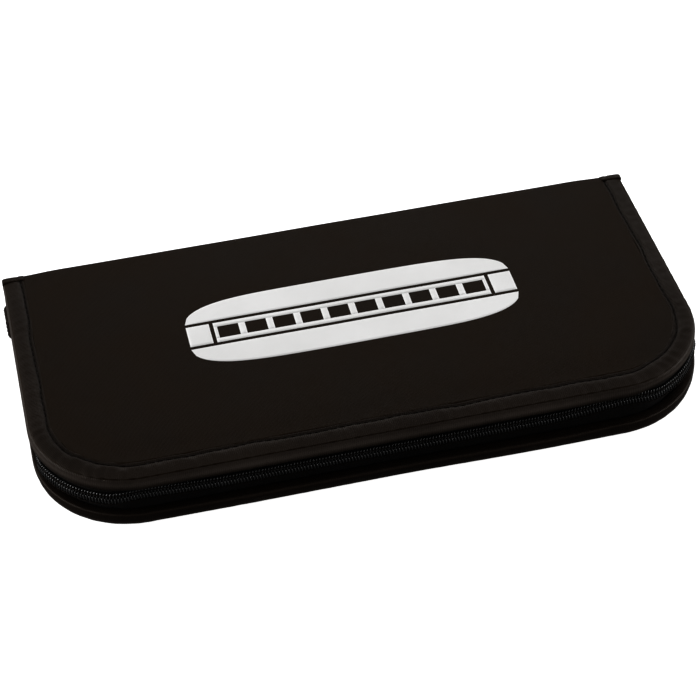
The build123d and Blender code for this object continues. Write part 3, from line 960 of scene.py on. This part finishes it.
def stitches(name, middles, runs, outs, length, body, sunk=SUNK):
    """One thread's stitches, each a short bowed bead at its middle, along its run."""
    middles = np.asarray(middles, float)
    runs, outs = (unit(np.broadcast_to(np.asarray(v, float), middles.shape)) for v in (runs, outs))
    ring = round_rings(np.cross(runs, outs), outs, THREAD_SIDES) * THREAD
    centres = [middles + runs * (t * length / 2) - outs * (sunk * abs(t) ** 5) for t, size in STITCH_SHAPE]
    rings = [centre[:, None] + ring * size for centre, (t, size) in zip(centres, STITCH_SHAPE)]
    along = np.array([t for t, size in STITCH_SHAPE]) * length / 2
    around = np.linspace(0, 2 * math.pi, THREAD_SIDES, endpoint=False) * THREAD * 2
    cloth = np.stack(np.broadcast_arrays(along[:, None], around[None]), -1).reshape(-1, 2)
    each = rod(len(STITCH_SHAPE), THREAD_SIDES, turned=True)
    faces = [tuple(v + i * len(cloth) for v in face) for i in range(len(middles)) for face in each]
    points = np.stack(rings, 1).reshape(-1, 3)
    piece = outward(new_piece(name, points, faces, np.tile(cloth, (len(middles), 1)), thread_paint))
    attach(piece, body)
    return piece


def rim_ways(s):
    """The directions along the outline and out of it, at distances s."""
    x, y = rim_line(s)[1].T
    return np.column_stack([-y, x, 0 * s]), np.column_stack([x, y, 0 * s])


seam = np.arange(FIRST_STITCH, RIM_RUN - FIRST_STITCH, STITCH_PITCH) + STITCH_PITCH / 2
chain = np.arange(COIL_START + 2 * TOOTH_PITCH, COIL_END - TOOTH_PITCH, 2 * TOOTH_PITCH)
tangent = rim_ways(seam)[0]
for half, way, depth in (("base", 1, 0.4 * MM), ("lid", -1, 0.36 * MM)):
    upper = half == "lid"
    places = on_rim(seam, STITCH_LINE + wander(seam), depth, upper)
    stitches(half + "_outer_seam", places, tangent, (0, 0, -way), STITCH_LENGTH, half)
    places = on_rim(seam, STITCH_LINE, HEM_TOP + ON_TOP, upper)
    stitches(half + "_hem_seam", places, tangent, (0, 0, way), STITCH_LENGTH, half)
    low = coil_low.z + CHAIN_DEPTH + way * climb(chain)
    places = on_rim(chain, COIL_OUTER - CHAIN_OUT - bulge(chain), low, upper)
    stitches(half + "_coil_thread", places, *rim_ways(chain), CHAIN_LENGTH, half, CHAIN_SUNK)

rises = np.arange(4.0, 22.0, 3.2) * MM
spine_x = HALF + END_OVERHANG - 0.7 * END_WIDTH
places = [(side * spine_x, BACK, z) for side in (-1, 1) for z in rises]
stitches("spine_end_seams", places, (0, 0, 1), (0, 1, 0), STITCH_LENGTH, "spine")

# ---------------------------------------------------------------------------------------
# The zipper's ends: a pair of clamped top stops on the right, and on the left a short tail
# of binding tape folded over the sewn end and tacked down to the lower zipper tape only.
# ---------------------------------------------------------------------------------------
metal_paint, tree, surface = shader(
    "slider_metal", "slider_metal", {"Coat Weight": 0.25, "Coat Roughness": 0.2}
)
edge = add(tree, "ShaderNodeNewGeometry").outputs["Pointiness"]
scuff = noise(tree, solid_place(tree), 1400.0, 4.0)
painted_light_and_wear = sums(tree, "MULTIPLY_ADD", scuff, 0.12, edge)
bare = add(tree, "ShaderNodeMapRange", {"Value": painted_light_and_wear, "From Min": 0.7, "From Max": 0.76}).outputs[0]
tinted(tree, surface, bare, (0.012, 0.012, 0.0125), (0.33, 0.32, 0.3))
tree.links.new(bare, surface.inputs["Metallic"])
rough(tree, surface, scuff, 0.22, 0.42)
bumped(tree, surface, scuff, 0.00003, 0.6)

stop_paint, tree, surface = shader("top_stop_metal", "slider_metal", {"Metallic": 1.0})
pressed = noise(tree, solid_place(tree), 1800.0, 3.0)
tinted(tree, surface, pressed, (0.02, 0.02, 0.021), (0.06, 0.059, 0.058))
rough(tree, surface, pressed, 0.3, 0.5)
bumped(tree, surface, pressed, 0.00006)


def rounded_block(name, low, high, edge, material, body):
    """A small cast block with rounded edges."""
    work = bmesh.new()
    bmesh.ops.create_cube(work, size=1)
    for vert in work.verts:
        vert.co = [(a + b) / 2 + c * (b - a) for a, b, c in zip(low, high, vert.co)]
    bmesh.ops.bevel(
        work, geom=work.edges[:], offset=edge, segments=3, profile=0.5, affect="EDGES", clamp_overlap=True
    )
    points = [tuple(v.co) for v in work.verts]
    faces = [tuple(v.index for v in face.verts) for face in work.faces]
    work.free()
    block = new_piece(name, points, faces, [p[1:] for p in points], material)
    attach(block, body)
    return block


STOP_EDGE = 0.4 * MM
for half in ("base", "lid"):
    stop = rounded_block(half + "_stop_clip", *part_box(half + "_top_stop"), STOP_EDGE, stop_paint, half)
    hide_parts(half + "_top_stop")

tab_low, tab_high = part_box("zip_end_tab")
TAB_ROWS = 15
TAB_PINCH, TAB_PUFF = 0.35, 0.06
TACK_LENGTH = 1.7 * MM
TACK_MARGIN_Y, TACK_MARGIN_Z = 1.6 * MM, 1.8 * MM
# The folded tape's section, as shares of the tail's box across and up.
TAB_SECTION = [
    (0.0, 0.06), (0.02, 0.5), (0.0, 0.94), (0.08, 0.99), (0.25, 1.0), (0.5, 0.99), (0.58, 0.95),
    (0.58, 0.6), (0.58, 0.2), (0.7, 0.165), (0.98, 0.16), (1.0, 0.1), (0.98, 0.02), (0.6, 0.0),
    (0.25, 0.0), (0.07, 0.01),
]
points, cloth = [], []
for t in np.linspace(0, 1, TAB_ROWS):
    pinch = TAB_PINCH * abs(2 * t - 1) ** 6
    for depth, rise in TAB_SECTION:
        puff = TAB_PUFF * math.sin(7 * t + 5 * rise) * (0.1 < rise < 0.9) * (depth < 0.1)
        share = min(max(depth + (0.5 - depth) * pinch + puff, 0), 1)
        shares = (share, t, rise + (0.5 - rise) * pinch * 0.25)
        x, y, z = (low + share * (high - low) for low, high, share in zip(tab_low, tab_high, shares))
        points.append((x, y, z))
        cloth.append((z, y + x))
faces = rod(TAB_ROWS, len(TAB_SECTION))
tail = outward(new_piece("zipper_end_tail", points, faces, cloth, binding_paint))
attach(tail, "base")
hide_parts("zip_end_tab")
tack_y = (tab_low.y + TACK_MARGIN_Y, tab_high.y - TACK_MARGIN_Y)
tack_z = np.linspace(tab_low.z + TACK_MARGIN_Z, tab_high.z - TACK_MARGIN_Z, 4)
tacks = [(tab_low.x + ON_TOP, y, z) for y in tack_y for z in tack_z]
stitches("zipper_end_tacks", tacks, (0, 0, 1), (-1, 0, 0), TACK_LENGTH, "base")

# ---------------------------------------------------------------------------------------
# The slider, die-cast zinc under black enamel: two shield-shaped plates on a post, the lower
# flange that guides the coil, an arched crown, and the pull that hangs in it.
# ---------------------------------------------------------------------------------------
slider_low, slider_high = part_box("slider_body")
crown_low, crown_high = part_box("slider_crown")
pull_low, pull_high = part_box("pull_tab")
MID = HEIGHT / 2
SLIDER_WALL, SLIDER_EDGE = 1.0 * MM, 0.22 * MM
NOSE_ROUND, TAIL_ROUND = 2.1 * MM, 1.4 * MM
POST_HALF, POST_LENGTH, POST_EDGE = 0.45 * MM, 3 * MM, 0.2 * MM
FLANGE_IN, FLANGE_THICK, FLANGE_EDGE = 3.3 * MM, 0.9 * MM, 0.25 * MM
NOTCH_HALF, NOTCH_DEPTH, NOSE_BACK = 1.1 * MM, 0.7 * MM, 0.15 * MM
# The shield narrows to its tail: how far behind its nose, and how far below its top there.
SHIELD_TAPER, TAIL_DROP = [(5.0 * MM, 0.0), (7.5 * MM, 0.5 * MM)], 1.0 * MM


def cut_plate(name, outlines, x, thickness, edge, body):
    """A flat plate across X with rounded edges. The first (y, z) outline is its rim and the
    others are holes, all closed."""
    sketch = bpy.data.curves.new(name, "CURVE")
    sketch.dimensions = "2D"
    sketch.fill_mode = "BOTH"
    sketch.extrude = thickness / 2 - edge
    sketch.bevel_depth = edge
    sketch.bevel_resolution = 2
    sketch.offset = -edge
    for outline in outlines:
        loop = sketch.splines.new("POLY")
        loop.points.add(len(outline) - 1)
        for point, (y, z) in zip(loop.points, outline):
            point.co = (y, z, 0, 1)
        loop.use_cyclic_u = True
    drawn = bpy.data.objects.new(name + "_sketch", sketch)
    mesh = bpy.data.meshes.new_from_object(drawn)
    points = [(x + v.co.z, v.co.x, v.co.y) for v in mesh.vertices]
    faces = [tuple(face.vertices) for face in mesh.polygons]
    bpy.data.objects.remove(drawn)
    bpy.data.curves.remove(sketch)
    plate = new_piece(name, points, faces, [p[1:] for p in points], metal_paint, smooth=False)
    outward(plate, 0.01 * MM)
    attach(plate, body)
    return plate


def arc_points(y, z, radius, start, stop, count):
    """Points on an arc from one angle to another, in degrees."""
    angles = np.radians(np.linspace(start, stop, count))
    return [(y + radius * math.cos(a), z + radius * math.sin(a)) for a in angles]


def mirrored(outline):
    """An upper half of an outline, closed by its own reflection in the case's mid-plane."""
    return outline + [(y, 2 * MID - z) for y, z in reversed(outline)]


nose, tail_end = slider_high.y, slider_low.y
shield_top = MID + (slider_high.z - slider_low.z) / 2
upper_edge = [(nose - NOSE_BACK, MID + NOTCH_HALF)]
upper_edge += arc_points(nose - NOSE_ROUND, shield_top - NOSE_ROUND, NOSE_ROUND, 0, 90, 6)
upper_edge += [(nose - back, shield_top - drop) for back, drop in SHIELD_TAPER]
upper_edge += arc_points(tail_end + TAIL_ROUND, shield_top - TAIL_DROP - TAIL_ROUND, TAIL_ROUND, 90, 180, 5)
shield = [(nose - NOTCH_DEPTH, MID)] + mirrored(upper_edge)
face_x, back_x = slider_high.x - SLIDER_WALL / 2, slider_low.x + SLIDER_WALL / 2
face_plate = cut_plate("slider_face", [shield], face_x, SLIDER_WALL, SLIDER_EDGE, "slider")
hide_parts("slider_body")
cut_plate("slider_back", [shield], back_x, SLIDER_WALL, SLIDER_EDGE, "slider")

post_front = nose - SLIDER_WALL
post_low = (slider_low.x + 0.5 * MM, post_front - POST_LENGTH, MID - POST_HALF)
post_high = (slider_high.x - 0.5 * MM, post_front, MID + POST_HALF)
rounded_block("slider_post", post_low, post_high, POST_EDGE, metal_paint, "slider")
flange_low = (HALF - FLANGE_IN, tail_end + 1.6 * MM, slider_low.z)
flange_high = (slider_high.x - 0.4 * MM, post_front, slider_low.z + FLANGE_THICK)
rounded_block("slider_flange", flange_low, flange_high, FLANGE_EDGE, metal_paint, "slider")

CROWN_WALL, CROWN_ROUND, CROWN_EDGE = 0.7 * MM, 1.2 * MM, 0.2 * MM
INNER_ROUND = 0.55 * MM
crown_root = crown_low.x - 0.3 * MM


def arch_line(inset, radius, count):
    """The crown's arch from its front foot to its rear one, at an inset from its outside."""
    reach = radius + inset
    line = [(crown_root, crown_low.y + inset)]
    line += arc_points(crown_high.x - reach, crown_low.y + reach, radius, -90, 0, count)
    line += arc_points(crown_high.x - reach, crown_high.y - reach, radius, 0, 90, count)
    return line + [(crown_root, crown_high.y - inset)]


arch = arch_line(0, CROWN_ROUND, 6) + arch_line(CROWN_WALL, INNER_ROUND, 5)[::-1]
points = [(x, y, z) for z in (crown_low.z, crown_high.z) for x, y in arch]
flat = [p[1:] for p in points]
crown = outward(new_piece("slider_arch", points, rod(2, len(arch)), flat, metal_paint, smooth=False))
softer = crown.modifiers.new("edge", "BEVEL")
softer.width, softer.segments, softer.limit_method = CROWN_EDGE, 3, "ANGLE"
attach(crown, "slider")
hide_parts("slider_crown")

pull_x = (pull_low.x + pull_high.x) / 2
pull_half = (pull_high.z - pull_low.z) / 2
pin_y, tip = pull_high.y - 0.35 * MM, pull_low.y
PULL_THICK, PULL_EDGE = 0.6 * MM, 0.15 * MM
TIP_HALF, TIP_ROUND, TAPER = 2.0 * MM, 1.0 * MM, 5.5 * MM
FRAME_HALF, FRAME_WIDTH, FRAME_THICK = 1.9 * MM, 0.5 * MM, 0.24 * MM
FRAME_ROUND, WINDOW_ROUND, FRAME_EDGE = 0.6 * MM, 0.4 * MM, 0.08 * MM
FRAME_TO_TIP, FRAME_TO_PIN = 5.4 * MM, 5.6 * MM
EYE_FAR, EYE_NEAR, EYE_HALF, EYE_ROUND = 4.3 * MM, 0.1 * MM, 1.5 * MM, 0.5 * MM
HOLE_TO_TIP, HOLE_RADIUS = 2.8 * MM, 1.2 * MM
PIN_RADIUS, PIN_SHORT = 0.34 * MM, 0.05 * MM


def slot_outline(y_low, y_high, half_width, corner):
    """A rounded window, drawn the other way round so that it cuts a hole."""
    near, far, up = y_low + corner, y_high - corner, half_width - corner
    window = []
    for y, z, start in ((near, -up, 270), (near, up, 180), (far, up, 90), (far, -up, 0)):
        window += arc_points(y, MID + z, corner, start, start - 90, 4)
    return window


upper_edge = [(pin_y, MID + pull_half), (tip + TAPER, MID + pull_half)]
upper_edge += arc_points(tip + TIP_ROUND, MID + TIP_HALF - TIP_ROUND, TIP_ROUND, 90, 180, 5)
eye = slot_outline(pin_y - EYE_FAR, pin_y - EYE_NEAR, EYE_HALF, EYE_ROUND)
tip_hole = arc_points(tip + HOLE_TO_TIP, MID, HOLE_RADIUS, 360, 15, 24)
blade = cut_plate("pull_blade", [mirrored(upper_edge), eye, tip_hole], pull_x, PULL_THICK, PULL_EDGE, "pull")
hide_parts("pull_tab")
panel_low, panel_high = tip + FRAME_TO_TIP, pin_y - FRAME_TO_PIN
inner_low, inner_high = panel_low + FRAME_WIDTH, panel_high - FRAME_WIDTH
frame_rim = [
    slot_outline(panel_low, panel_high, FRAME_HALF, FRAME_ROUND)[::-1],
    slot_outline(inner_low, inner_high, FRAME_HALF - FRAME_WIDTH, WINDOW_ROUND),
]
for label, x in (("front", pull_x + PULL_THICK / 2), ("back", pull_x - PULL_THICK / 2)):
    cut_plate("pull_frame_" + label, frame_rim, x, FRAME_THICK, FRAME_EDGE, "pull")
pin_line = [(pull_x, pin_y, z) for z in np.linspace(pull_low.z + PIN_SHORT, pull_high.z - PIN_SHORT, 9)]
points, faces = tube(pin_line, PIN_RADIUS, 12)
pin = outward(new_piece("pull_pin", points, faces, [p[1:] for p in points], metal_paint))
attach(pin, "pull")

# ---------------------------------------------------------------------------------------
# The seven elastic loops, wide ribbed knitted elastic. Each holds one harmonica that lies
# from front to back, and its two feet are tacked down to the base lining.
# ---------------------------------------------------------------------------------------
ELASTIC = 0.5 * MM
LOOP_CORNER, FOOT_CORNER = 2.6 * MM, 0.7 * MM
FOOT, FOOT_LIFT = 2.8 * MM, 0.02 * MM
LOOP_ROWS = 25
WAIST, SAG, EDGE_CURL, RIPPLE = 0.8 * MM, 0.12 * MM, 0.18 * MM, 0.05 * MM
LOOP_TACK, LOOP_TACK_PITCH, LOOP_TACK_SUNK = 1.9 * MM, 2.4 * MM, 0.2 * MM
LOOP_TACK_OUT, FIRST_LOOP_TACK = 2.0 * MM, 1.4 * MM

elastic_paint, tree, surface, pattern = cloth_paint("elastic_band", "elastic_band", 0.75, 0.25, 0.15)
knit = use(tree, ribs, {"Pattern": pattern, "Pitch": 0.0013})
loops_in_knit = use(tree, weave, {"Pattern": pattern, "Pitch": 0.00045})
relief = sums(tree, "MULTIPLY_ADD", loops_in_knit.outputs["Height"], 0.25, knit.outputs["Height"])
tinted(tree, surface, relief, (0.0065, 0.0065, 0.0068), (0.017, 0.0168, 0.017))
rough(tree, surface, relief, 0.85, 0.68)
bumped(tree, surface, relief, 0.0002)

for number in range(1, 8):
    node = f"harmonica_loop_{number}"
    low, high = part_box(node)
    half_x, half_y = (high.x - low.x) / 2, (high.y - low.y) / 2
    wall = half_x - FOOT - ELASTIC / 2
    floor, roof = low.z + ELASTIC / 2 + FOOT_LIFT, high.z - ELASTIC / 2
    half_path = [(half_x, floor), (wall + 1.6 * MM, floor)]
    half_path += arc_points(wall + FOOT_CORNER, floor + FOOT_CORNER, FOOT_CORNER, 270, 180, 5)
    half_path += [(wall, z) for z in np.linspace(floor, roof - LOOP_CORNER, 11)[1:-1]]
    half_path += arc_points(wall - LOOP_CORNER, roof - LOOP_CORNER, LOOP_CORNER, 0, 90, 7)
    half_path += [(x, roof) for x in np.linspace(wall - LOOP_CORNER, 0, 8)[1:]]
    path = np.array(half_path + [(-x, z) for x, z in half_path[-2::-1]])
    run = np.concatenate([[0], np.cumsum(np.linalg.norm(np.diff(path, axis=0), axis=1))])
    lifted = smoothstep(path[:, 1], floor, roof)
    waist = WAIST * lifted * (1 - 0.3 * np.cos(run / run[-1] * 2 * math.pi))
    places, cloth = [], []
    for share in np.linspace(-1, 1, LOOP_ROWS):
        ripple = RIPPLE * np.sin(run / (6 * MM) + number + 3 * share)
        sag = (SAG + EDGE_CURL * abs(share) ** 10 + ripple) * lifted
        x = (low.x + high.x) / 2 + path[:, 0] * (1 - sag / wall)
        y = (low.y + high.y) / 2 + share * (half_y - waist)
        places.append(np.column_stack([x, y, path[:, 1] - np.maximum(sag, 0)]))
        cloth.append(np.column_stack([np.full(len(run), share * half_y), run]))
    faces = quads(LOOP_ROWS, len(path))
    loop = new_piece(
        f"elastic_loop_{number}", np.concatenate(places), faces, np.concatenate(cloth), elastic_paint
    )
    thicken(loop, ELASTIC, 0)
    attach(loop, "base")
    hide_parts(node)
    tack_y = np.arange(low.y + FIRST_LOOP_TACK, high.y - MM, LOOP_TACK_PITCH)
    tack_x = [(low.x + high.x) / 2 + side * (wall + LOOP_TACK_OUT) for side in (-1, 1)]
    tacks = [(x, y, low.z + ELASTIC + ON_TOP) for x in tack_x for y in tack_y]
    stitches(f"loop_tacks_{number}", tacks, (0, 1, 0), (0, 0, 1), LOOP_TACK, "base", LOOP_TACK_SUNK)

# ---------------------------------------------------------------------------------------
# The print, white screen ink on the lid's cloth: a plain ten-hole harmonica seen from the
# front. It lies on the cover as a thin film and lets the weave show through a little.
# ---------------------------------------------------------------------------------------
FILM, FILM_THICK = 0.05 * MM, 0.03 * MM
PRINT_CENTRE, PRINT_HALF = (0.002, 0.0075), 68.0 * MM
HOLES, HOLE_PITCH, HOLE_HALF = 10, 11.4 * MM, 3.4 * MM
RAIL, PRINT_GAP = 5.8 * MM, 1.6 * MM
WALL_HALF = 1.4 * MM
PLATE_RISE = 12.5 * MM
CELL = 1.3 * MM

ink_paint, tree, surface = shader("white_print", "cover_nylon")
pattern = pattern_of(tree)
woven = use(tree, weave, {"Pattern": pattern, "Pitch": OXFORD_PITCH}).outputs["Height"]
laid = blended(tree, woven, 0.35, mottle_of(tree, pattern))
tinted(tree, surface, laid, (0.84, 0.835, 0.825), (0.94, 0.935, 0.93))
rough(tree, surface, laid, 0.5, 0.62)
bumped(tree, surface, woven, 0.00006, 0.6)
ink_points, ink_faces = [], []


def ink(x_low, x_high, *edges):
    """A patch of ink in small cells between two x limits and its lower and upper edge, each
    a height or a curve of x."""
    columns = max(int((x_high - x_low) / CELL), 1) + 1
    xs = np.linspace(x_low, x_high, columns)
    lows, highs = (edge(xs) if callable(edge) else np.full(columns, edge) for edge in edges)
    rows = max(int(np.max(highs - lows) / CELL), 1) + 1
    ink_faces.extend(quads(rows, columns, turned=True, first=len(ink_points)))
    for share in np.linspace(0, 1, rows):
        ink_points.extend(zip(xs, lows + (highs - lows) * share))


def cover_plate(x):
    """The bulge of a harmonica's cover plate, which falls away at both its ends."""
    return RAIL + PRINT_GAP + PLATE_RISE * np.clip(1 - np.abs(x / PRINT_HALF) ** 5, 0, 1) ** 0.5


comb_half = HOLES / 2 * HOLE_PITCH
plates = {-1: (lambda x: -cover_plate(x), -RAIL - PRINT_GAP), 1: (RAIL + PRINT_GAP, cover_plate)}
for way, plate in plates.items():
    ink(-comb_half, comb_half, *sorted((way * HOLE_HALF, way * RAIL)))
    ink(-PRINT_HALF, PRINT_HALF, *plate)
for number in range(HOLES + 1):
    x = number * HOLE_PITCH - comb_half
    ink(max(x - WALL_HALF, -comb_half), min(x + WALL_HALF, comb_half), -HOLE_HALF, HOLE_HALF)
for way in (-1, 1):
    ink(*sorted((way * (comb_half + PRINT_GAP), way * PRINT_HALF)), -RAIL, RAIL)

flat = np.array(ink_points) + PRINT_CENTRE
rise = HEIGHT - lid_sink(np.full(len(flat), CORNER), flat[:, 0], flat[:, 1]) + FILM
print_film = new_piece("lid_print", np.column_stack([flat, rise]), ink_faces, flat, ink_paint)
thicken(print_film, FILM_THICK)
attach(print_film, "lid")

# ---------------------------------------------------------------------------------------
# Sizes: the box of the dressed model, beside the plain model's box taken at the start.
# ---------------------------------------------------------------------------------------
low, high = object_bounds()
